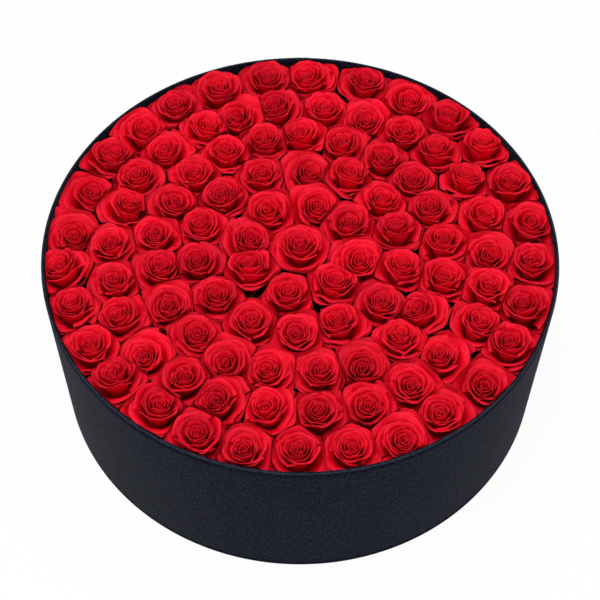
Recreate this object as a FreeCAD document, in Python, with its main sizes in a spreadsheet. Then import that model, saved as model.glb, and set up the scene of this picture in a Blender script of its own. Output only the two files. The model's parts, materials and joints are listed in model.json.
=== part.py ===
# Round flower box, covered in black linen-finish paper and packed with preserved roses.
# Millimetres, +Z up. The origin is on the floor under the middle of the box, its front towards -Y.
# The box is a lined greyboard tube on a greyboard floor. The roses stand in dry foam bricks on a
# deck, and skirt, ribs, deck, foam and roses lift out of the box together.

import FreeCAD, Part
import math
import os
import re

import Sketcher

Vector = FreeCAD.Vector
Rotation = FreeCAD.Rotation
UP = Vector(0, 0, 1)

doc = FreeCAD.newDocument("FlowerBox")
sheet = doc.addObject("Spreadsheet::Sheet", "Sizes")

# Driving sizes: what it measures, alias, value (lengths in mm, angles in degrees)
SIZES = [
    ("outside diameter of the box", "box_diameter", 520),
    ("height of the box", "box_height", 200),
    ("greyboard of the wall", "board_thickness", 2),
    ("linen covering", "wrap_thickness", 0.6),
    ("lining paper", "lining_thickness", 0.4),
    ("paper disc under the foot", "cover_thickness", 0.5),
    ("glue line between curved layers", "glue_gap", 0.1),
    ("covering turned down inside the rim", "turn_in_depth", 20),
    ("covering turned under the foot", "turn_under_width", 15),
    ("cover disc stops short of the wall", "cover_margin", 4),
    ("rounding of the covering at rim and foot", "fold_round", 0.5),
    ("greyboard of the floor", "base_board_thickness", 3),
    ("deck to the wall", "deck_clearance", 5),
    ("greyboard of the deck", "deck_thickness", 3),
    ("card of the skirt and ribs", "riser_card", 2),
    ("skirt in from the edge of the deck", "skirt_inset", 20),
    ("rib ends to the skirt", "rib_clearance", 0.3),
    ("halving slot wider than the card", "slot_clearance", 0.4),
    ("foam brick, length", "brick_length", 230),
    ("foam brick, width", "brick_width", 110),
    ("foam brick, height", "brick_height", 80),
    ("joint between bricks", "brick_gap", 0.5),
    ("foam in from the edge of the deck", "foam_inset", 2),
    ("every second row of bricks moves along", "brick_stagger", 60),
    ("rose head, widest", "rose_diameter", 42),
    ("rose head, height", "rose_height", 44),
    ("rose tops below the rim", "rim_drop", 2),
    ("outer roses to the wall", "rose_wall_gap", 0.6),
    ("from ring to ring of roses", "ring_pitch", 44),
    ("rose to rose along the outer ring", "outer_spacing", 50.5),
    ("rose to rose along the second ring", "second_spacing", 46),
    ("rose to rose along the inner rings", "inner_spacing", 43.8),
    ("outer ring crowds by this angle", "crowd_angle", 3.4),
    ("outer ring crowds away from here", "crowd_bearing", 62.5),
    ("petal, thickness", "petal_thickness", 0.9),
    ("petals of a whorl overlap by this angle", "petal_overlap", 26),
    ("axis of a petal to the axis of the rose", "petal_shift", 1.6),
    ("foot of a petal narrower than its lip", "petal_lean", 0.86),
    ("lip of a petal slopes down to its edges", "lip_slope", 27),
    ("rolled bud in the middle, radius", "bud_radius", 2.4),
    ("outer lips below the crest", "lip_fall", 6),
    ("filled cup of the rose, height", "heart_height", 20),
    ("hip under the head, radius", "hip_radius", 5),
    ("hip under the head, height", "hip_height", 8),
    ("sepal, length", "sepal_length", 13),
    ("sepal, width", "sepal_width", 5.5),
    ("sepal, thickness", "sepal_thickness", 0.8),
    ("stem, diameter", "stem_diameter", 4.4),
    ("stem in the foam", "stem_depth", 50),
    ("stem hole wider than the stem", "hole_clearance", 0.5),
]
# Angle of the first rose of each ring, outermost ring first
RING_TURNS = [10.8, -0.7, 2.7, 11.3, 33.0]
# Petals in each whorl of a rose, outermost whorl first, and the share of the fall of its lips
PETALS_PER_WHORL = [5, 5, 4, 3]
LIP_FALLS = [1.0, 0.25, 0.0, 0.3]

for row, (note, alias, value) in enumerate(SIZES, start=1):
    sheet.set(f"A{row}", note)
    sheet.set(f"B{row}", str(value))
    sheet.setAlias(f"B{row}", alias)
doc.recompute()


def linked(formula):
    """The formula with each alias looked up in the sheet."""
    return re.sub(r"\b([a-z]+(?:_[a-z]+)+)\b", r"Sizes.\1", formula)


def measure(formula):
    """The formula's value in millimetres or degrees."""
    return float(sheet.evalExpression(linked(formula)))


def bind(feature, **formulas):
    """Tie properties of a feature to formulas of the sheet's sizes."""
    for path, formula in formulas.items():
        feature.setExpression(path.replace("__", "."), linked(formula))


# Radii of the wall's layers, from the outside in
outer_radius = "(box_diameter / 2)"
board_outer = f"({outer_radius} - wrap_thickness - glue_gap)"
board_inner = f"({board_outer} - board_thickness)"
layer_outer = f"({board_inner} - glue_gap)"
mouth_radius = f"({layer_outer} - max(wrap_thickness; lining_thickness))"

# Levels, from the floor up
board_foot = "(cover_thickness + wrap_thickness)"
base_top = f"({board_foot} + base_board_thickness)"
floor_level = f"({base_top} + lining_thickness)"
rose_base = "(box_height - rim_drop - rose_height)"
foam_top = f"({rose_base} - hip_height)"
deck_top = f"({foam_top} - brick_height)"
deck_foot = f"({deck_top} - deck_thickness)"

# Radii of the insert
deck_radius = f"({mouth_radius} - deck_clearance)"
skirt_radius = f"({deck_radius} - skirt_inset)"
foam_radius = f"({deck_radius} - foam_inset)"


def origin_plane(body, role):
    """One of the body's own origin planes."""
    return next(plane for plane in body.Origin.OriginFeatures if plane.Role == role)


def revolved(label, corners):
    """A body turned about Z from a closed outline of (radius, level) corners, each bound to the sheet."""
    body = doc.addObject("PartDesign::Body", label)
    sketch = body.newObject("Sketcher::SketchObject", f"{label}_outline")
    sketch.AttachmentSupport = [(origin_plane(body, "XZ_Plane"), "")]
    sketch.MapMode = "FlatFace"
    points = [Vector(measure(radius), measure(level), 0) for radius, level in corners]
    for start, end in zip(points, points[1:] + points[:1]):
        sketch.addGeometry(Part.LineSegment(start, end), False)
    for index, (radius, level) in enumerate(corners):
        following = (index + 1) % len(corners)
        sketch.addConstraint(Sketcher.Constraint("Coincident", index, 2, following, 1))
        for direction, formula, distance in (
            ("DistanceX", radius, points[index].x),
            ("DistanceY", level, points[index].y),
        ):
            place = sketch.addConstraint(Sketcher.Constraint(direction, -1, 1, index, 1, distance))
            sketch.setExpression(f"Constraints[{place}]", linked(formula))
    turn = body.newObject("PartDesign::Revolution", f"{label}_turn")
    turn.Profile = sketch
    turn.ReferenceAxis = (sketch, ["V_Axis"])
    turn.Angle = 360
    sketch.Visibility = False
    doc.recompute()
    return body


def tube(label, inner, outer, bottom, top):
    """A straight tube between two radii and two levels."""
    return revolved(label, [(inner, bottom), (outer, bottom), (outer, top), (inner, top)])


def disc(label, radius, bottom, thickness):
    """A flat disc centred on the axis."""
    plate = doc.addObject("Part::Cylinder", label)
    bind(plate, Radius=radius, Height=thickness, Placement__Base__z=bottom)
    return plate


def block(label, length, width, height, x, y, z):
    """A rectangular block from its least corner."""
    box = doc.addObject("Part::Box", label)
    bind(box, Length=length, Width=width, Height=height)
    bind(box, Placement__Base__x=x, Placement__Base__y=y, Placement__Base__z=z)
    return box


def boolean(kind, label, base, tool):
    """A Part::Cut or Part::Common of two features."""
    feature = doc.addObject(kind, label)
    feature.Base = base
    feature.Tool = tool
    return feature


def wall_wrap():
    """The covering: up the wall, over the rim, down inside, and turned under the foot."""
    inside = f"({board_outer} + glue_gap)"
    under = f"({outer_radius} - turn_under_width)"
    turn_in_foot = "(box_height - turn_in_depth)"
    body = revolved("wall_wrap", [
        (outer_radius, "cover_thickness"),
        (outer_radius, "box_height"),
        (mouth_radius, "box_height"),
        (mouth_radius, turn_in_foot),
        (layer_outer, turn_in_foot),
        (layer_outer, "box_height - wrap_thickness"),
        (inside, "box_height - wrap_thickness"),
        (inside, board_foot),
        (under, board_foot),
        (under, "cover_thickness"),
    ])
    folds = [
        (measure(outer_radius), measure("cover_thickness")),
        (measure(outer_radius), measure("box_height")),
        (measure(mouth_radius), measure("box_height")),
    ]
    edges = []
    for number, edge in enumerate(body.Shape.Edges, start=1):
        end = edge.Vertexes[0].Point
        for radius, level in folds:
            if math.hypot(end.x - radius, end.z - level) < 0.01 and edge.BoundBox.ZLength < 0.01:
                edges.append(f"Edge{number}")
    turn = body.Tip
    rounding = body.newObject("PartDesign::Fillet", "wall_wrap_folds")
    rounding.Base = (turn, edges)
    bind(rounding, Radius="min(fold_round; 0.9 * wrap_thickness)")
    body.Tip = rounding
    return body


def wall():
    """The wall's board, covering and lining."""
    board = tube("wall_board", board_inner, board_outer, board_foot, "box_height - wrap_thickness")
    lining_top = "box_height - turn_in_depth - glue_gap"
    lining = tube("wall_lining", f"{layer_outer} - lining_thickness", layer_outer, floor_level, lining_top)
    return [board, wall_wrap(), lining]


def base():
    """The floor board in the tube, its lining and the disc glued under the foot."""
    return [
        disc("base_board", layer_outer, board_foot, "base_board_thickness"),
        disc("base_lining", layer_outer, base_top, "lining_thickness"),
        disc("base_cover", f"{outer_radius} - cover_margin", "0", "cover_thickness"),
    ]


def rib(label, along_x, slot_from, slot_to):
    """A card strip across the skirt, slotted half way at its middle to take the other strip."""
    reach = f"({skirt_radius} - riser_card - rib_clearance)"
    height = f"({deck_foot} - {floor_level})"
    slot = "(riser_card + slot_clearance)"
    spans = [(f"2 * {reach}", f"-{reach}"), ("riser_card", "-riser_card / 2")]
    cuts = [(slot, f"-{slot} / 2"), ("2 * riser_card", "-riser_card")]
    if not along_x:
        spans.reverse()
        cuts.reverse()
    strip = block(f"{label}_strip", spans[0][0], spans[1][0], height, spans[0][1], spans[1][1], floor_level)
    notch_height = f"({slot_to}) - ({slot_from})"
    notch = block(f"{label}_slot", cuts[0][0], cuts[1][0], notch_height, cuts[0][1], cuts[1][1], slot_from)
    return boolean("Part::Cut", label, strip, notch)


def riser():
    """Skirt, two halved ribs and the deck that the foam stands on."""
    middle = f"(({floor_level} + {deck_foot}) / 2)"
    skirt = tube("riser_skirt", f"{skirt_radius} - riser_card", skirt_radius, floor_level, deck_foot)
    long_rib = rib("riser_rib_long", True, f"{middle} - slot_clearance / 2", f"{deck_foot} + riser_card")
    cross_rib = rib("riser_rib_cross", False, f"{floor_level} - riser_card", f"{middle} + slot_clearance / 2")
    deck = disc("riser_deck", deck_radius, deck_foot, "deck_thickness")
    return [skirt, long_rib, cross_rib, deck]


def rose_rings():
    """For each ring, outermost first, the (x, y, bearing) of its roses, set from the wall inwards."""
    pitch = measure("ring_pitch")
    radius = measure(f"{mouth_radius} - rose_wall_gap - rose_diameter / 2")
    spacings = [measure("outer_spacing"), measure("second_spacing"), measure("inner_spacing")]
    crowd = measure("crowd_angle")
    rings = []
    while radius >= pitch:
        number = len(rings)
        count = int(2 * math.pi * radius / spacings[min(number, len(spacings) - 1)])
        roses = []
        for seat in range(count):
            bearing = RING_TURNS[number % len(RING_TURNS)] + seat * 360 / count
            if number == 0:
                bearing += crowd * math.sin(math.radians(bearing - measure("crowd_bearing")))
            turn = math.radians(bearing)
            roses.append((radius * math.cos(turn), radius * math.sin(turn), bearing))
        rings.append(roses)
        radius -= pitch
    rings.append([(0.0, 0.0, 0.0)])
    return rings


def stem_holes(rings):
    """Holes in the foam, one for each stem and a little deeper."""
    radius = measure("(stem_diameter + hole_clearance) / 2")
    depth = measure("stem_depth + hole_clearance")
    foot = measure(foam_top) - depth
    margin = measure("hole_clearance")
    holes = doc.addObject("Part::Feature", "stem_holes")
    holes.Shape = Part.makeCompound([
        Part.makeCylinder(radius, depth + margin, Vector(x, y, foot))
        for roses in rings for x, y, bearing in roses
    ])
    return holes


def foam_bricks(rings):
    """Bricks in rows on the deck, every second row moved along, trimmed round and holed for the stems."""
    length, width = measure("brick_length"), measure("brick_width")
    reach = measure(foam_radius)
    holes = stem_holes(rings)
    bricks = []
    rows = math.ceil((reach - width / 2) / width)
    for row in range(-rows, rows + 1):
        moved = "brick_stagger" if row % 2 else "0"
        columns = math.ceil(reach / length) + 1
        for column in range(-columns, columns + 1):
            left = f"({column} - 0.5) * brick_length + {moved} + brick_gap / 2"
            near = f"({row} - 0.5) * brick_width + brick_gap / 2"
            x_gap = max(measure(left), -measure(left) - length, 0)
            y_gap = max(measure(near), -measure(near) - width, 0)
            if math.hypot(x_gap, y_gap) > reach - width / 4:
                continue
            label = f"foam_brick_{len(bricks) + 1:02d}"
            brick = block(f"{label}_whole", "brick_length - brick_gap", "brick_width - brick_gap",
                          "brick_height", left, near, deck_top)
            edge = disc(f"{label}_edge", foam_radius, deck_top, "brick_height")
            trimmed = boolean("Part::Common", f"{label}_trimmed", brick, edge)
            bricks.append(boolean("Part::Cut", label, trimmed, holes))
    return bricks


def turned(points, arcs, sweep):
    """A solid turned about Z through an angle, centred on +X, from (radius, level) points.

    arcs maps the index of a side's first point to a point that the side curves through.
    """
    corners = [Vector(radius, 0, level) for radius, level in points]
    edges = []
    for index, start in enumerate(corners):
        end = corners[(index + 1) % len(corners)]
        if index in arcs:
            radius, level = arcs[index]
            edges.append(Part.Arc(start, Vector(radius, 0, level), end).toShape())
        else:
            edges.append(Part.LineSegment(start, end).toShape())
    face = Part.Face(Part.Wire(edges))
    solid = face.revolve(Vector(0, 0, 0), UP, sweep)
    if sweep < 360:
        solid.rotate(Vector(0, 0, 0), UP, -sweep / 2)
    return solid


def petal(lip, top, count):
    """One petal of a whorl, on the +X side: part of a thin flaring cone, its lip arched by a sloping cut.

    The cone's axis is moved sideways from the rose's, so that one edge of the petal lies inside its
    neighbour and the other outside, and the petals of a whorl overlap like a pinwheel.
    """
    half = measure("petal_thickness") / 2
    foot = measure("petal_lean") * lip
    bottom = measure("heart_height - petal_thickness")
    shell = turned(
        [(foot - half, bottom), (foot + half, bottom), (lip + half, top), (lip - half, top)],
        {},
        360 / count + measure("petal_overlap"),
    )
    shell.translate(Vector(0, measure("petal_shift"), 0))
    size = 2 * measure("rose_diameter")
    above = Part.makeBox(size, size, size, Vector(-size / 2, -size / 2, 0))
    above.rotate(Vector(0, 0, 0), Vector(0, 1, 0), -measure("lip_slope"))
    above.translate(Vector(lip + half, 0, top))
    return shell.cut(above)


def rose_head():
    """A rose head on its flat base: a filled cup, a rolled bud and whorls of petals round it."""
    widest = measure("rose_diameter") / 2
    heart = measure("heart_height")
    hip, bud = measure("hip_radius"), measure("bud_radius")
    height, fall = measure("rose_height"), measure("lip_fall")
    half_span = math.radians(180 / PETALS_PER_WHORL[0] + measure("petal_overlap") / 2)
    outer_lip = widest - measure("petal_thickness") / 2 - measure("petal_shift") * math.sin(half_span)
    whorl_pitch = (outer_lip - bud) / len(PETALS_PER_WHORL)
    shoulder = widest - (1 - measure("petal_lean")) * outer_lip + measure("petal_thickness") / 2
    cup = turned([(0, 0), (hip, 0), (shoulder, heart), (0, heart)], {1: (0.9 * shoulder, 0.45 * heart)}, 360)
    bud_foot = heart - measure("petal_thickness")
    bud_top = height - fall / 2
    roll = turned([(0, bud_foot), (bud, bud_foot), (bud / 2, bud_top), (0, bud_top)], {}, 360)
    shells = [roll]
    for whorl, count in enumerate(PETALS_PER_WHORL):
        lip = outer_lip - whorl * whorl_pitch
        top = height - fall * LIP_FALLS[whorl]
        first = petal(lip, top, count)
        for number in range(count):
            shell = first.copy()
            shell.rotate(Vector(0, 0, 0), UP, 360 * (number + whorl / 2) / count)
            shells.append(shell)
    return cup.multiFuse(shells)


def rose_stem():
    """Stem, hip and five sepals of a rose, its top face at the base of the head."""
    hip, hip_height = measure("hip_radius"), measure("hip_height")
    stem = measure("stem_diameter") / 2
    depth = measure("stem_depth")
    length, width = measure("sepal_length"), measure("sepal_width")
    thickness = measure("sepal_thickness")
    stalk = turned(
        [(0, 0), (hip, 0), (stem, -hip_height), (stem, -hip_height - depth), (0, -hip_height - depth)],
        {1: (0.95 * hip, -hip_height / 2)},
        360,
    )
    # slanting cut at the foot
    size = 4 * stem
    offcut = Part.makeBox(2 * size, 2 * size, size, Vector(-size, -size, -size))
    offcut.rotate(Vector(0, 0, 0), Vector(0, 1, 0), 45)
    offcut.translate(Vector(0, 0, -hip_height - depth + stem))
    stalk = stalk.cut(offcut)
    # a sepal is a leaf between two arcs, from inside the hip to its tip
    low = -thickness * 1.5
    root, tip = Vector(hip / 2, 0, low), Vector(hip / 2 + length, 0, low)
    middle = (root + tip) / 2
    sides = [
        Part.Arc(root, middle + Vector(0, -width / 2, 0), tip).toShape(),
        Part.Arc(tip, middle + Vector(0, width / 2, 0), root).toShape(),
    ]
    leaf = Part.Face(Part.Wire(sides)).extrude(Vector(0, 0, thickness))
    leaves = []
    for number in range(5):
        sepal = leaf.copy()
        sepal.rotate(Vector(0, 0, 0), UP, number * 72)
        leaves.append(sepal)
    return stalk.multiFuse(leaves)


def ring_of(label, prototype, roses, number):
    """Copies of one rose piece on the seats of a ring, each turned its own way."""
    level = measure(rose_base)
    copies = []
    for seat, (x, y, bearing) in enumerate(roses):
        own_turn = bearing + 75 * seat + 40 * number
        copy = prototype.copy()
        copy.Placement = FreeCAD.Placement(Vector(x, y, level), Rotation(UP, own_turn))
        copies.append(copy)
    ring = doc.addObject("Part::Feature", label)
    ring.Shape = Part.makeCompound(copies)
    return ring


def roses(rings):
    """Heads and stems, ring by ring from the wall to the middle."""
    head, stem = rose_head(), rose_stem()
    pieces = []
    for number, seats in enumerate(rings, start=1):
        pieces.append(ring_of(f"rose_heads_ring_{number}", head, seats, number))
        pieces.append(ring_of(f"rose_stems_ring_{number}", stem, seats, number))
    return pieces


def main():
    rings = rose_rings()
    pieces = wall() + base() + riser() + foam_bricks(rings) + roses(rings)
    doc.recompute()
    for feature in doc.Objects:
        faults = {"Invalid", "Error"} & set(feature.State)
        if faults:
            raise RuntimeError(f"{feature.Name} did not compute: {sorted(faults)}")
    os.makedirs("parts", exist_ok=True)
    for piece in pieces:
        shape = piece.Shape
        if shape.isNull() or not shape.isValid() or not shape.Solids:
            raise RuntimeError(f"{piece.Label} has no valid solid")
    for piece in pieces:
        piece.Shape.exportStep(f"parts/{piece.Label}.step")
        print(f"{piece.Label}: {len(piece.Shape.Solids)} solids, {piece.Shape.Volume / 1000:.1f} cm3")
    print("roses per ring:", [len(seats) for seats in rings])


main()
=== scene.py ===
# Round black linen flower box packed with red preserved roses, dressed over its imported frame.
import json
import math

import bpy
import numpy as np
from mathutils import Matrix, Vector


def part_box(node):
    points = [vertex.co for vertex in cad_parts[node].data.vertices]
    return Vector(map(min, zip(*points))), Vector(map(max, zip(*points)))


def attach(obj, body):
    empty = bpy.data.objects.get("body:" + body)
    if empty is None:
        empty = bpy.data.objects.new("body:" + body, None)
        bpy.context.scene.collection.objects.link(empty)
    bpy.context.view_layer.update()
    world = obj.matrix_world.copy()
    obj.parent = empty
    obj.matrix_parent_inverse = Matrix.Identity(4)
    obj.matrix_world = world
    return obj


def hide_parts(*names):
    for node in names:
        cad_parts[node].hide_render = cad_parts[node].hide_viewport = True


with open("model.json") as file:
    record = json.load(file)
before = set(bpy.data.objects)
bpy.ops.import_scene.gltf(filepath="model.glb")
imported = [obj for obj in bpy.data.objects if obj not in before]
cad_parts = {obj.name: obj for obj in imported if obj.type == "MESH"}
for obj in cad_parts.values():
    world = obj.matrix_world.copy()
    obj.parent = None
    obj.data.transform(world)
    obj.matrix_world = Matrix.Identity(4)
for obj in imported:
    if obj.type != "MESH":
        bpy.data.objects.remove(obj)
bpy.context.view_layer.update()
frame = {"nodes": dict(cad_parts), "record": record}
print("frame loaded:", len(frame["nodes"]), "nodes")

mm = 0.001


# mesh helpers

def gridQuads(rows, columns):
    # corners of the quads of a rows by columns grid of points, counted row by row
    corner = np.arange(rows * columns).reshape(rows, columns)
    quads = np.stack([corner[:-1, :-1], corner[1:, :-1], corner[1:, 1:], corner[:-1, 1:]], axis=-1)
    return quads.reshape(-1, 4)


def ringQuads(rows, columns):
    # the same for a grid whose last column joins its first
    corner = np.arange(rows * columns).reshape(rows, columns)
    following = np.roll(corner, -1, axis=1)
    quads = np.stack([corner[:-1], corner[1:], following[1:], following[:-1]], axis=-1)
    return quads.reshape(-1, 4)


def meshObject(name, points, quads, material, uv=None, attributes=None):
    # a smooth-shaded mesh from whole arrays: points in metres, four corners a face, uv one pair a corner
    mesh = bpy.data.meshes.new(name)
    mesh.vertices.add(len(points))
    mesh.vertices.foreach_set("co", np.ascontiguousarray(points, dtype=np.float32).ravel())
    mesh.loops.add(quads.size)
    mesh.loops.foreach_set("vertex_index", quads.astype(np.int32).ravel())
    mesh.polygons.add(len(quads))
    mesh.polygons.foreach_set("loop_start", np.arange(0, quads.size, 4, dtype=np.int32))
    mesh.polygons.foreach_set("use_smooth", np.ones(len(quads), dtype=bool))
    if uv is not None:
        layer = mesh.uv_layers.new(name="UVMap")
        layer.uv.foreach_set("vector", np.ascontiguousarray(uv, dtype=np.float32).ravel())
    for key, values in (attributes or {}).items():
        layer = mesh.attributes.new(key, "FLOAT", "POINT")
        layer.data.foreach_set("value", np.ascontiguousarray(values, dtype=np.float32).ravel())
    mesh.update(calc_edges=True)
    mesh.validate()
    mesh.materials.append(material)
    piece = bpy.data.objects.new(name, mesh)
    bpy.context.scene.collection.objects.link(piece)
    return piece


# material helpers

def newMaterial(name):
    material = bpy.data.materials.new(name)
    material.use_nodes = True
    tree = material.node_tree
    tree.nodes.clear()
    output = tree.nodes.new("ShaderNodeOutputMaterial")
    shader = tree.nodes.new("ShaderNodeBsdfPrincipled")
    tree.links.new(shader.outputs["BSDF"], output.inputs["Surface"])
    return material, tree, shader


def node(tree, kind, **values):
    # a node with its sockets set by name and its settings by attribute
    made = tree.nodes.new(kind)
    for key, value in values.items():
        if key in made.inputs:
            made.inputs[key].default_value = value
        else:
            setattr(made, key, value)
    return made


def math2(tree, operation, first, second):
    # one Math node of two values or sockets
    made = node(tree, "ShaderNodeMath", operation=operation)
    for socket, value in zip(made.inputs, (first, second)):
        if isinstance(value, (int, float)):
            socket.default_value = value
        else:
            tree.links.new(value, socket)
    return made.outputs[0]


def ramp(tree, source, stops):
    # a colour ramp of (place, colour) stops
    made = tree.nodes.new("ShaderNodeValToRGB")
    tree.links.new(source, made.inputs["Fac"])
    marks = made.color_ramp.elements
    while len(marks) < len(stops):
        marks.new(0.5)
    for mark, (place, colour) in zip(marks, stops):
        mark.position = place
        mark.color = (*colour, 1.0)
    return made.outputs["Color"]


def mixColours(tree, blend, factor, first, second):
    # two colours mixed by a blend mode
    made = node(tree, "ShaderNodeMix", data_type="RGBA", blend_type=blend)
    for socket, value in zip((made.inputs[0], made.inputs[6], made.inputs[7]), (factor, first, second)):
        if isinstance(value, bpy.types.NodeSocket):
            tree.links.new(value, socket)
        else:
            socket.default_value = value
    return made.outputs[2]


def bump(tree, shader, height, strength, distance):
    made = node(tree, "ShaderNodeBump", Strength=strength, Distance=distance)
    tree.links.new(height, made.inputs["Height"])
    tree.links.new(made.outputs["Normal"], shader.inputs["Normal"])


def objectPoint(tree):
    return tree.nodes.new("ShaderNodeTexCoord").outputs["Object"]


def noise(tree, point, scale, detail=3.0, roughness=0.55):
    made = node(tree, "ShaderNodeTexNoise", Scale=scale, Detail=detail, Roughness=roughness)
    tree.links.new(point, made.inputs["Vector"])
    return made.outputs["Fac"]


petalLook = {
    "depth": (0.64, 0.0, 0.009),     # painted shade, deep between the petals at their feet
    "body": (0.78, 0.0, 0.018),      # the petal's face
    "lip": (0.92, 0.016, 0.042),     # painted highlight on its rolled edge
    "blotch": (90.0, 0.22),          # scale of the blotches, and how far they shift the colour
    "toneRange": (0.79, 0.42),       # brightness of the darkest petal, and what the lightest adds
    "veins": (55.0, 9.0, 0.1),       # stripes, how far they wander, relief
    "creases": (260.0, 1.6),         # scale, relief
    "relief": (0.5, 0.0012),         # strength and depth in metres
    "roughness": 0.55,
    "sheen": 0.1,
    "sheenRoughness": 0.4,
    "sheenTint": (1.0, 0.06, 0.1, 1.0),
    "specular": 0.07,
}


def petalRed():
    # red that lightens from the foot of each petal to its lip, with painted shade at the foot and a painted
    # highlight on the lip, a tone of its own and fine veins
    look = petalLook
    material, tree, shader = newMaterial("petalRed")
    along = node(tree, "ShaderNodeAttribute", attribute_name="along").outputs["Fac"]
    across = node(tree, "ShaderNodeAttribute", attribute_name="across").outputs["Fac"]
    tone = node(tree, "ShaderNodeAttribute", attribute_name="tone").outputs["Fac"]
    point = objectPoint(tree)
    blotchScale, blotchShift = look["blotch"]
    blotch = noise(tree, point, blotchScale)
    shift = math2(tree, "MULTIPLY", math2(tree, "SUBTRACT", blotch, 0.5), blotchShift)
    place = math2(tree, "ADD", along, shift)
    # painted shade low down between the petals, the petal's own red on its face, and a painted highlight on
    # the lip
    colour = ramp(tree, place, [(0.25, look["depth"]), (0.75, look["body"]), (1.0, look["lip"])])
    darkest, lighter = look["toneRange"]
    shade = math2(tree, "ADD", math2(tree, "MULTIPLY", tone, lighter), darkest)
    tint = node(tree, "ShaderNodeHueSaturation", Saturation=1.0)
    tree.links.new(shade, tint.inputs["Value"])
    tree.links.new(colour, tint.inputs["Color"])
    tree.links.new(tint.outputs["Color"], shader.inputs["Base Color"])
    # veins run up the petal, so they are stripes across it, broken up by the noise
    stripes, wander, veinRelief = look["veins"]
    striped = math2(tree, "MULTIPLY", across, stripes)
    wandering = math2(tree, "ADD", striped, math2(tree, "MULTIPLY", blotch, wander))
    veins = math2(tree, "MULTIPLY", math2(tree, "SINE", wandering, 0.0), veinRelief)
    creaseScale, creaseRelief = look["creases"]
    creases = math2(tree, "MULTIPLY", noise(tree, point, creaseScale, 4.0, 0.65), creaseRelief)
    bump(tree, shader, math2(tree, "ADD", veins, creases), *look["relief"])
    shader.inputs["Roughness"].default_value = look["roughness"]
    shader.inputs["Sheen Weight"].default_value = look["sheen"]
    shader.inputs["Sheen Roughness"].default_value = look["sheenRoughness"]
    shader.inputs["Sheen Tint"].default_value = look["sheenTint"]
    shader.inputs["Specular IOR Level"].default_value = look["specular"]
    return material


linenLook = {
    "thread": 0.0015,               # pitch of the weave, metres
    "dark": (0.0008, 0.001, 0.003),
    "pale": (0.014, 0.0175, 0.037),
    "paintedRimHighlight": (0.020, 0.022, 0.024),  # painted highlight, added along the fold over the rim
    "slub": (0.8, 0.35, 7.0),       # scale across a thread, share of it along, how far it bends a thread
    "toneEnds": (0.46, 0.61),       # where the dark ends and the pale begins
    "relief": (0.5, 0.0003),        # strength and depth in metres
    "roughness": 0.7,
    "specular": 0.02,
    "sheen": 0.055,
    "sheenRoughness": 0.28,
}


def linenBlack():
    # two sets of threads crossing, warp up the wall and weft round it, each of uneven thickness
    look = linenLook
    material, tree, shader = newMaterial("linenBlack")
    uv = node(tree, "ShaderNodeUVMap", uv_map="UVMap").outputs["UV"]
    split = tree.nodes.new("ShaderNodeSeparateXYZ")
    tree.links.new(uv, split.inputs[0])
    turns = 2 * math.pi / look["thread"]
    slubScale, slubAlong, slubBend = look["slub"]

    def threads(first, second, wander):
        # a sine across the threads, whose place wanders slowly along them
        point = tree.nodes.new("ShaderNodeCombineXYZ")
        tree.links.new(math2(tree, "MULTIPLY", first, 1.0 / look["thread"]), point.inputs[0])
        tree.links.new(math2(tree, "MULTIPLY", second, slubAlong / look["thread"]), point.inputs[1])
        point.inputs[2].default_value = wander
        slub = noise(tree, point.outputs[0], slubScale, 3.0, 0.7)
        bend = math2(tree, "MULTIPLY", slub, slubBend)
        wave = math2(tree, "SINE", math2(tree, "ADD", math2(tree, "MULTIPLY", first, turns), bend), 0.0)
        return wave, slub

    warp, warpSlub = threads(split.outputs[0], split.outputs[1], 0.0)
    weft, weftSlub = threads(split.outputs[1], split.outputs[0], 7.3)
    weave = math2(tree, "MAXIMUM", warp, weft)
    warpShare = math2(tree, "MULTIPLY", warpSlub, 0.65)
    slub = math2(tree, "ADD", warpShare, math2(tree, "MULTIPLY", weftSlub, 0.35))
    # painted light and shade of the weave: the crowns of the threads are lighter and the gaps between them
    # darker, over the threads' own uneven tone
    tone = math2(tree, "ADD", slub, math2(tree, "MULTIPLY", weave, 0.06))
    darkEnd, paleEnd = look["toneEnds"]
    colour = ramp(tree, tone, [(darkEnd, look["dark"]), (paleEnd, look["pale"])])
    patch = noise(tree, objectPoint(tree), 9.0, 2.0)
    shade = ramp(tree, patch, [(0.3, (0.7,) * 3), (0.7, (1.0,) * 3)])
    colour = mixColours(tree, "MULTIPLY", 0.35, colour, shade)
    # painted highlight: the top of the fold over the rim is lightened, where the light from above catches it
    paintedRimHighlight = node(tree, "ShaderNodeAttribute", attribute_name="fold").outputs["Fac"]
    colour = mixColours(tree, "ADD", paintedRimHighlight, colour, (*look["paintedRimHighlight"], 1.0))
    tree.links.new(colour, shader.inputs["Base Color"])
    bump(tree, shader, weave, *look["relief"])
    shader.inputs["Roughness"].default_value = look["roughness"]
    shader.inputs["Specular IOR Level"].default_value = look["specular"]
    shader.inputs["Sheen Weight"].default_value = look["sheen"]
    shader.inputs["Sheen Roughness"].default_value = look["sheenRoughness"]
    return material


def speckled(name, dark, pale, scale, roughness, depth):
    # a matte board, paper or foam: fibres or pores as fine noise in colour and relief over broad patches
    material, tree, shader = newMaterial(name)
    point = objectPoint(tree)
    fine = noise(tree, point, scale, 4.0)
    broad = noise(tree, point, scale / 14, 2.0)
    mixed = math2(tree, "ADD", math2(tree, "MULTIPLY", fine, 0.6), math2(tree, "MULTIPLY", broad, 0.4))
    tree.links.new(ramp(tree, mixed, [(0.35, dark), (0.65, pale)]), shader.inputs["Base Color"])
    bump(tree, shader, fine, 0.4, depth)
    shader.inputs["Roughness"].default_value = roughness
    shader.inputs["Specular IOR Level"].default_value = 0.25
    return material


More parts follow.
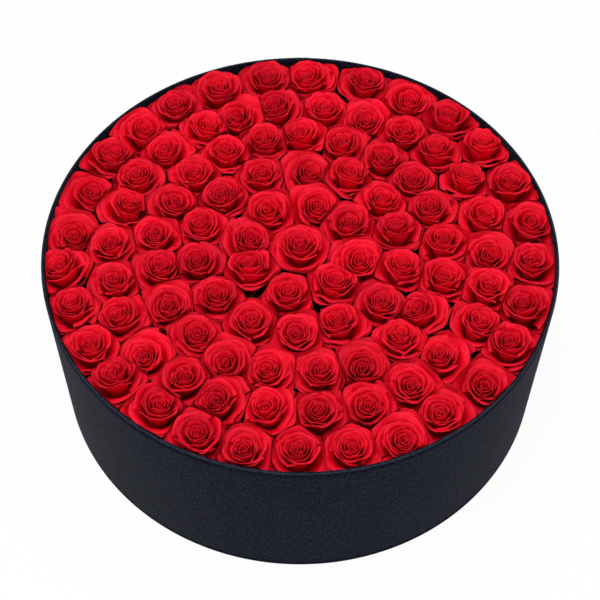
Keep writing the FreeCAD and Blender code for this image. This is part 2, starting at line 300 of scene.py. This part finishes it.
def foamGreen():
    # dry florist's foam: open pores as cells darkened with painted shade, with crushed dust between
    material, tree, shader = newMaterial("foamGreen")
    point = objectPoint(tree)
    cells = node(tree, "ShaderNodeTexVoronoi", Scale=700.0)
    tree.links.new(point, cells.inputs["Vector"])
    pores = cells.outputs["Distance"]
    dust = noise(tree, point, 60.0)
    mixed = math2(tree, "ADD", math2(tree, "MULTIPLY", pores, 0.5), math2(tree, "MULTIPLY", dust, 0.6))
    # painted shade: darker in the pores, which the bump also sinks
    colour = ramp(tree, mixed, [(0.25, (0.012, 0.015, 0.010)), (0.7, (0.042, 0.05, 0.034))])
    tree.links.new(colour, shader.inputs["Base Color"])
    bump(tree, shader, mixed, 0.6, 0.0008)
    shader.inputs["Roughness"].default_value = 0.95
    shader.inputs["Specular IOR Level"].default_value = 0.1
    return material


def stemGreen():
    # stems and sepals: green streaked along the stem
    material, tree, shader = newMaterial("stemGreen")
    stretch = node(tree, "ShaderNodeMapping", Scale=(500.0, 500.0, 40.0))
    tree.links.new(objectPoint(tree), stretch.inputs["Vector"])
    streak = noise(tree, stretch.outputs["Vector"], 1.0)
    colour = ramp(tree, streak, [(0.3, (0.035, 0.07, 0.02)), (0.7, (0.11, 0.17, 0.05))])
    tree.links.new(colour, shader.inputs["Base Color"])
    bump(tree, shader, streak, 0.3, 0.0003)
    shader.inputs["Roughness"].default_value = 0.6
    return material


# the finishes of the frame's own nodes
finishes = {
    "greyboard": speckled("greyboard", (0.2, 0.19, 0.175), (0.31, 0.3, 0.275), 420.0, 0.85, 0.0002),
    "card": speckled("brownCard", (0.27, 0.19, 0.115), (0.4, 0.3, 0.2), 350.0, 0.85, 0.0002),
    "lining": speckled("liningBlack", (0.006, 0.006, 0.007), (0.016, 0.016, 0.018), 600.0, 0.7, 0.0001),
    "linen_cover": speckled("footPaper", (0.008, 0.009, 0.011), (0.022, 0.023, 0.027), 600.0, 0.7, 0.0001),
    "foam": foamGreen(),
    "stems": stemGreen(),
}
slotOf = {part["node"]: part["material_slot"] for part in frame["record"]["subparts"]}
for name, piece in frame["nodes"].items():
    finish = finishes.get(slotOf[name])
    if finish:
        piece.data.materials.clear()
        piece.data.materials.append(finish)
print("finishes set on the frame's nodes")


# linen covering

coverLook = {
    "thickness": 0.6 * mm,
    "turnIn": 20 * mm,      # turned down inside the rim
    "turnUnder": 15 * mm,   # turned under the foot
    "round": 0.9 * mm,      # fold over the edge of the board
    "lap": 16 * mm,         # the sheet's ends overlap at the back
    "lapRise": 0.35 * mm,
    "around": 512,
    "wallRows": 24,
    "foldPoints": 5,        # points on each quarter turn
}


def coverOutline(outer, inner, foot, top, look):
    # half section of the covering as (radius, level) points, round the outside and back along the inside:
    # up the wall, a quarter turn over each edge of the rim, down inside, and back to the foot
    turn = np.linspace(0, math.pi / 2, look["foldPoints"])
    r, t = look["round"], look["thickness"]

    def quarter(radius, level, start, size):
        return np.stack([radius + size * np.cos(start + turn), level + size * np.sin(start + turn)], axis=1)

    levels = np.linspace(foot + r, top - r, look["wallRows"])
    wall = np.stack([np.full(look["wallRows"], outer), levels], axis=1)
    turnIn = np.array([[inner, top - look["turnIn"]]])
    inside = np.array([
        [inner + t, top - look["turnIn"]], [inner + t, top - t],
        [outer - t, top - t], [outer - t, foot + t],
        [outer - look["turnUnder"], foot + t], [outer - look["turnUnder"], foot],
    ])
    return np.concatenate([
        quarter(outer - r, foot + r, -math.pi / 2, r), wall,
        quarter(outer - r, top - r, 0, r), quarter(inner + r, top - r, math.pi / 2, r),
        turnIn, inside,
    ])


def linenCover():
    # the outline turned about the axis; the outer face stands a little proud where the sheet laps itself
    look = coverLook
    low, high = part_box("wall_wrap")
    outer = high.x
    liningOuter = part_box("wall_lining")[1].x
    inner = liningOuter - look["thickness"]
    outline = coverOutline(outer, inner, low.z, high.z, look)
    rows = len(outline)
    turn = np.linspace(0, 2 * math.pi, look["around"], endpoint=False) - math.pi / 2
    radius = np.repeat(outline[:, :1], look["around"], axis=1)
    level = np.repeat(outline[:, 1:], look["around"], axis=1)
    fromBack = np.abs((turn - math.pi / 2 + math.pi) % (2 * math.pi) - math.pi) * outer
    outside = (outline[:, 0] > outer - look["thickness"] / 2)[:, None]
    radius = radius + np.where(outside & (fromBack < look["lap"] / 2)[None, :], look["lapRise"], 0.0)
    points = np.stack([radius * np.cos(turn), radius * np.sin(turn), level], axis=-1)
    quads = ringQuads(rows + 1, look["around"]) % (rows * look["around"])
    # uv in metres: round the wall, and along the outline
    steps = np.linalg.norm(np.diff(np.concatenate([outline, outline[:1]]), axis=0), axis=1)
    along = np.concatenate([[0], np.cumsum(steps)])
    column = np.arange(look["around"])
    start = np.tile(column * 2 * math.pi * outer / look["around"], rows)
    end = np.tile((column + 1) * 2 * math.pi * outer / look["around"], rows)
    u = np.stack([start, start, end, end], axis=1)
    lower = np.repeat(along[:-1], look["around"])
    upper = np.repeat(along[1:], look["around"])
    v = np.stack([lower, upper, upper, lower], axis=1)
    uv = np.stack([u, v], axis=-1)
    # fold masks the painted highlight on the rim: 1 on top of the rim, fading within the rounding, and off
    # the turned-in side
    onRim = np.clip(1 - (high.z - outline[:, 1]) / look["round"], 0, 1)
    onRim = onRim * (outline[:, 0] > inner + look["round"])
    fold = np.repeat(onRim, look["around"])
    points = points.reshape(-1, 3)
    piece = meshObject("linen_cover", points, quads[:, ::-1], linenBlack(), uv[:, ::-1], {"fold": fold})
    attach(piece, "box")
    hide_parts("wall_wrap")
    print("linen cover:", rows, "rows of", look["around"])
    return inner


mouthRadius = linenCover()


# roses

roseLook = {
    "petals": 25,
    "acrossPoints": 17,
    "alongPoints": 10,
    "thickness": 0.6 * mm,
    "height": 50.0 * mm,      # crest above the base of the head
    # petals from bud to outside: share, lip radius, lip below crest, roll out, roll down, edges' fall,
    # half width in radians; lengths in millimetres
    "whorls": [
        (0.00, 1.7, 5.0, 0.3, 0.1, 2.0, 2.40),
        (0.14, 4.7, 4.2, 0.8, 0.3, 2.5, 1.80),
        (0.17, 6.3, 3.3, 1.0, 0.5, 3.0, 1.50),
        (0.33, 9.9, 0.9, 1.4, 0.7, 4.2, 1.30),
        (0.36, 11.8, 0.0, 1.8, 0.9, 5.0, 1.25),
        (0.49, 14.4, 0.0, 2.3, 1.2, 6.0, 1.20),
        (0.53, 16.6, 0.6, 2.8, 1.5, 5.0, 1.20),
        (0.67, 18.6, 1.8, 3.2, 1.8, 5.0, 1.20),
        (0.71, 23.0, 10.5, 5.0, 2.4, 4.0, 1.05),
        (1.00, 33.5, 13.0, 8.0, 1.0, 3.0, 1.00),
    ],
    "tip": 1.3 * mm,          # point in the middle of an outer lip
    "offCentre": 2.2 * mm,    # bud beside the axis, at most
    "ruffle": 0.65 * mm,      # small waves along a lip
    "lean": 13.0,             # degrees, at most
    "squeeze": 3.0 * mm,      # depth over which a neighbour's push is taken up
    "stand": (0.5, 0.8),      # how far a petal stands up, as a share of a neighbour's and the wall's push
    # the next four: value at the bud, and what is added at the outermost petal, in millimetres
    "footRadius": (1.0, 6.0),
    "footLevel": (14.0, -8.0),
    "spiral": (0.6, 1.0),     # one edge out and the other in
    "wave": (0.2, 0.8),
    # the next three: least and most over the roses
    "sizeRange": (0.97, 1.05),
    "sinkRange": (-1.5 * mm, 1.0 * mm),
    "toneRange": (0.3, 0.7),
    "toneJitter": 0.12,
    "lipJitter": 0.045,       # how much lip radii differ, as a share
    "crestJitter": 0.9 * mm,
    "rollJitter": 0.25,       # rolls and falls of the lips, as a share
    "widthJitter": 0.06,
    "turnJitter": 0.15,       # radians
    "goldenAngle": math.radians(137.5),
    "bend": 0.62,             # where the lip starts to roll, from foot to lip
    "bowl": ([0.49, 0.53, 1.0], [2.2, 1.6, 1.3]),   # share of the way out, and roundness of the petal
    "usualHalfGap": 23.0 * mm,
    "spreadLimits": (0.95, 1.15),
    "wallGap": 0.8 * mm,
    "crestRoom": 3.0 * mm,    # pushed petals stay this far below the crest
    "neighbourReach": 75 * mm,
    "stalkHeight": 40 * mm,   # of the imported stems, used to find their middles
    "stalkApart": 8 * mm,
    "seed": 41,
}


def roseSeats(ring, look):
    # middle of each stem of a ring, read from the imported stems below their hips
    co = np.zeros(len(frame["nodes"][ring].data.vertices) * 3, np.float32)
    frame["nodes"][ring].data.vertices.foreach_get("co", co)
    co = co.reshape(-1, 3)
    stalk = co[co[:, 2] < co[:, 2].min() + look["stalkHeight"]][:, :2]
    seats = []
    while len(stalk):
        near = np.hypot(*(stalk - stalk[0]).T) < look["stalkApart"]
        seats.append((stalk[near].min(0) + stalk[near].max(0)) / 2)
        stalk = stalk[~near]
    return np.array(seats)


def petalSheets(rng, look, spread):
    # middle surfaces of all the petals of one rose at once, as (petal, across, along) arrays.
    # Across runs -1 to 1 over the width and along 0 to 1 from foot to lip. A petal goes out from the foot
    # by 1-(1-along)^bowl and up by a mix of along and 1-(1-along)^1.6, its edges fall below its middle, its
    # lip rolls out and down past a bend, and one edge lies inside its neighbour and the other outside. Slow
    # sines wave the petal and quicker ones ruffle its lip. Outer petals flare more.
    count = look["petals"]
    share = np.arange(count) / (count - 1)
    table = np.array(look["whorls"])
    lipRadius, fall, roll, droop, arch, half = (
        np.interp(share, table[:, 0], column)[:, None, None] for column in table[:, 1:].T)
    share = share[:, None, None]
    u = np.linspace(-1, 1, look["acrossPoints"])[None, :, None]
    v = 1 - (1 - np.linspace(0, 1, look["alongPoints"])[None, None, :]) ** 1.35

    def jitter(size):
        return rng.normal(0, size, (count, 1, 1))

    def outward(pair):
        return (pair[0] + pair[1] * share) * mm

    foot = outward(look["footRadius"])
    cup = lipRadius * mm * spread * (1 + jitter(look["lipJitter"]))
    top = look["height"] - fall * mm + jitter(look["crestJitter"])
    low = outward(look["footLevel"])
    roll = roll * mm * (1 + jitter(look["rollJitter"]))
    droop = droop * mm * (1 + jitter(look["rollJitter"]))
    arch = arch * mm * (1 + jitter(look["rollJitter"]))
    half = half * (1 + jitter(look["widthJitter"]))
    spiral = outward(look["spiral"])
    wave = outward(look["wave"])
    phase = rng.uniform(0, 2 * math.pi, (count, 1, 1))

    lip = np.clip((v - look["bend"]) / (1 - look["bend"]), 0, 1)
    bowl = np.interp(share, *look["bowl"])
    radius = foot + (cup - roll - foot) * (1 - (1 - v) ** bowl)
    radius = radius + roll * lip ** 2 * (0.8 + 0.4 * u ** 2)
    radius = radius + look["tip"] * share * np.exp(-(u / 0.25) ** 2) * lip
    radius = radius + spiral * u * (0.3 + 0.7 * v) + wave * np.sin(3.4 * u + phase) * v ** 2
    level = low + (top - low) * (0.35 * v + 0.65 * (1 - (1 - v) ** 1.6))
    level = level - droop * lip ** 2.4 - arch * np.abs(u) ** 2.8 * v
    level = level + 0.6 * wave * np.sin(4.7 * u + 2 * phase) * v ** 2
    level = level + look["ruffle"] * np.sin(9.0 * u + 3 * phase) * lip
    radius = radius + look["ruffle"] * np.sin(7.0 * u + 5 * phase) * lip ** 2
    turn = np.arange(count)[:, None, None] * look["goldenAngle"] + jitter(look["turnJitter"]) + half * u
    bearing = rng.uniform(0, 2 * math.pi)
    aside = look["offCentre"] * rng.uniform(0.2, 1) * (1 - share) ** 1.5 * v
    x = radius * np.cos(turn) + aside * math.cos(bearing)
    y = radius * np.sin(turn) + aside * math.sin(bearing)
    return np.stack([x, y, level], axis=-1), u, v


def shellFaces(across, along):
    # quads of one closed petal: its inner face, its outer face turned round, and a strip round the rim
    face = gridQuads(across, along)
    count = across * along
    corner = np.arange(count).reshape(across, along)
    rim = np.concatenate([corner[:, 0], corner[-1, 1:], corner[-2::-1, -1], corner[0, -2:0:-1]])
    following = np.roll(rim, -1)
    strip = np.stack([rim, following, following + count, rim + count], axis=1)
    return np.concatenate([face, face[:, ::-1] + count, strip])


def pressed(points, seat, others, top, look):
    # what stands past half way to a neighbour, or past the wall, is squeezed into a thin band before it,
    # and stands up by a share of the push, no higher than the crest
    band = look["squeeze"]
    push = np.zeros(len(points))

    def taken(over):
        return np.where(over > 0, over - band * (1 - np.exp(-np.maximum(over, 0) / band)), 0.0)

    for other in others:
        away = other - seat
        gap = np.hypot(*away)
        away = away / gap
        reach = (points[:, :2] - seat) @ away
        back = taken(reach - (gap / 2 - band))
        points[:, :2] -= back[:, None] * away
        push += back
    wall = np.hypot(points[:, 0], points[:, 1])
    back = taken(wall - (mouthRadius - look["wallGap"] - band))
    points[:, :2] *= ((wall - back) / np.maximum(wall, 1e-9))[:, None]
    room = np.maximum(top - points[:, 2], 0)
    byRose, byWall = look["stand"]
    rise = byRose * push + byWall * back
    points[:, 2] += room * (1 - np.exp(-rise / np.maximum(room, 1e-6)))
    return points


def rose(name, seat, base, others, rng, look, material):
    # one rose: its petals leaned together, thickened along their normals, set on its seat and pressed
    near = np.sort(np.hypot(*(others - seat).T))[:6].mean() / 2
    spread = np.clip(near / look["usualHalfGap"], *look["spreadLimits"]) * rng.uniform(*look["sizeRange"])
    sheets, u, v = petalSheets(rng, look, spread)
    normal = np.cross(np.gradient(sheets, axis=1), np.gradient(sheets, axis=2))
    normal = normal / np.maximum(np.linalg.norm(normal, axis=-1, keepdims=True), 1e-12)
    half = look["thickness"] / 2 * (1 - 0.5 * v[..., None])
    faces = np.stack([sheets - normal * half, sheets + normal * half], axis=1)
    shape = (look["petals"], 2, look["acrossPoints"], look["alongPoints"])
    lean = Matrix.Rotation(math.radians(look["lean"]) * rng.uniform(0, 1), 3,
                           Vector((*rng.normal(0, 1, 2), 0)).normalized())
    spin = Matrix.Rotation(rng.uniform(0, 2 * math.pi), 3, "Z")
    points = faces.reshape(-1, 3) @ np.array(lean @ spin).T
    points[:, :2] += seat
    points[:, 2] += base + rng.uniform(*look["sinkRange"])
    points = pressed(points, seat, others, base + look["height"] - look["crestRoom"], look)
    one = shellFaces(look["acrossPoints"], look["alongPoints"])
    each = 2 * look["acrossPoints"] * look["alongPoints"]
    quads = (one[None] + each * np.arange(look["petals"])[:, None, None]).reshape(-1, 4)
    tone = rng.uniform(*look["toneRange"]) + rng.normal(0, look["toneJitter"], (look["petals"], 1, 1, 1))
    attributes = {
        "along": np.broadcast_to(v[:, None], shape),
        "across": np.broadcast_to(u[:, None], shape),
        "tone": np.broadcast_to(np.clip(tone, 0, 1), shape),
    }
    piece = meshObject(name, points, quads, material, attributes=attributes)
    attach(piece, "insert")
    return piece


def plantRoses():
    # every rose of every ring, from the outer ring inwards, each told of the roses round it
    look = roseLook
    rng = np.random.default_rng(look["seed"])
    material = petalRed()
    rings = sorted(n for n in frame["nodes"] if n.startswith("rose_stems_ring_"))
    seats = [roseSeats(ring, look) for ring in rings]
    every = np.concatenate(seats)
    for ring, places in zip(rings, seats):
        heads = ring.replace("stems", "heads")
        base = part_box(heads)[0].z
        for number, seat in enumerate(places, start=1):
            far = np.hypot(*(every - seat).T)
            others = every[(far > 1 * mm) & (far < look["neighbourReach"])]
            piece = rose(f"rose_{ring[-1]}_{number:02d}", seat, base, others, rng, look, material)
            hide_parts(heads)
        print("ring", ring[-1], "has", len(places), "roses")


plantRoses()


# stage, light and camera

stageLook = {
    "floor": 6.0,
    "floorGrey": 0.92,
    "showWhite": 0.94,      # how far the floor shows as plain white
    "world": 0.70,
    "lamps": [
        # name, place, size, watts
        ("topLamp", (-0.3, -0.3, 1.9), 1.2, 15.0),
        ("frontLamp", (0.9, -1.7, 1.5), 1.1, 7.0),
    ],
    "aim": (0.0, 0.0, 0.15),
}


def seenPlainly(tree):
    # 1 where the camera or a reflection looks, 0 where light bounces
    path = tree.nodes.new("ShaderNodeLightPath")
    mirrored = math2(tree, "MAXIMUM", path.outputs["Is Glossy Ray"], path.outputs["Is Transmission Ray"])
    return math2(tree, "MAXIMUM", path.outputs["Is Camera Ray"], mirrored)


def whiteFloor():
    # a floor that shows as white to the camera and in reflections, and still takes a shadow
    look = stageLook
    half = look["floor"] / 2
    points = np.array([[-half, -half, 0], [half, -half, 0], [half, half, 0], [-half, half, 0]])
    material = bpy.data.materials.new("whiteFloor")
    material.use_nodes = True
    tree = material.node_tree
    tree.nodes.clear()
    output = tree.nodes.new("ShaderNodeOutputMaterial")
    matte = node(tree, "ShaderNodeBsdfDiffuse", Color=(look["floorGrey"],) * 3 + (1.0,))
    plain = node(tree, "ShaderNodeEmission", Color=(1.0, 1.0, 1.0, 1.0), Strength=1.0)
    mixed = tree.nodes.new("ShaderNodeMixShader")
    tree.links.new(math2(tree, "MULTIPLY", seenPlainly(tree), look["showWhite"]), mixed.inputs["Fac"])
    tree.links.new(matte.outputs[0], mixed.inputs[1])
    tree.links.new(plain.outputs[0], mixed.inputs[2])
    tree.links.new(mixed.outputs[0], output.inputs["Surface"])
    floor = meshObject("floor", points, np.array([[0, 1, 2, 3]]), material)


def whiteWorld():
    # soft light from all round, shown as plain white to the camera and in reflections
    world = bpy.data.worlds.new("studio")
    bpy.context.scene.world = world
    world.use_nodes = True
    tree = world.node_tree
    tree.nodes.clear()
    output = tree.nodes.new("ShaderNodeOutputWorld")
    light = node(tree, "ShaderNodeBackground", Color=(1.0, 1.0, 1.0, 1.0), Strength=stageLook["world"])
    shown = node(tree, "ShaderNodeBackground", Color=(1.0, 1.0, 1.0, 1.0), Strength=1.0)
    mixed = tree.nodes.new("ShaderNodeMixShader")
    tree.links.new(seenPlainly(tree), mixed.inputs["Fac"])
    tree.links.new(light.outputs[0], mixed.inputs[1])
    tree.links.new(shown.outputs[0], mixed.inputs[2])
    tree.links.new(mixed.outputs[0], output.inputs["Surface"])


def softLamps():
    for name, place, size, watts in stageLook["lamps"]:
        lamp = bpy.data.lights.new(name, "AREA")
        lamp.shape = "DISK"
        lamp.size = size
        lamp.energy = watts
        holder = bpy.data.objects.new(name, lamp)
        bpy.context.scene.collection.objects.link(holder)
        holder.location = place
        holder.rotation_euler = (Vector(stageLook["aim"]) - Vector(place)).to_track_quat("-Z", "Y").to_euler()


# fitted to the rim and the outline in the photograph
cameraLook = {
    "place": (0.0, -0.8144, 1.2841),
    "aim": (0.0001, -0.0654, 0.1946),
    "roll": 0.0086,
    "lens": 80.6,
    "sensor": 36.0,
}


def photoCamera():
    look = cameraLook
    data = bpy.data.cameras.new("photoCamera")
    data.lens = look["lens"]
    data.sensor_width = look["sensor"]
    camera = bpy.data.objects.new("photoCamera", data)
    bpy.context.scene.collection.objects.link(camera)
    camera.location = look["place"]
    facing = (Vector(look["aim"]) - Vector(look["place"])).to_track_quat("-Z", "Y").to_matrix()
    camera.rotation_euler = (facing @ Matrix.Rotation(look["roll"], 3, "Z")).to_euler()
    bpy.context.scene.camera = camera


whiteFloor()
whiteWorld()
softLamps()
photoCamera()
bpy.context.scene.view_settings.view_transform = "Standard"
print("stage, light and camera set")
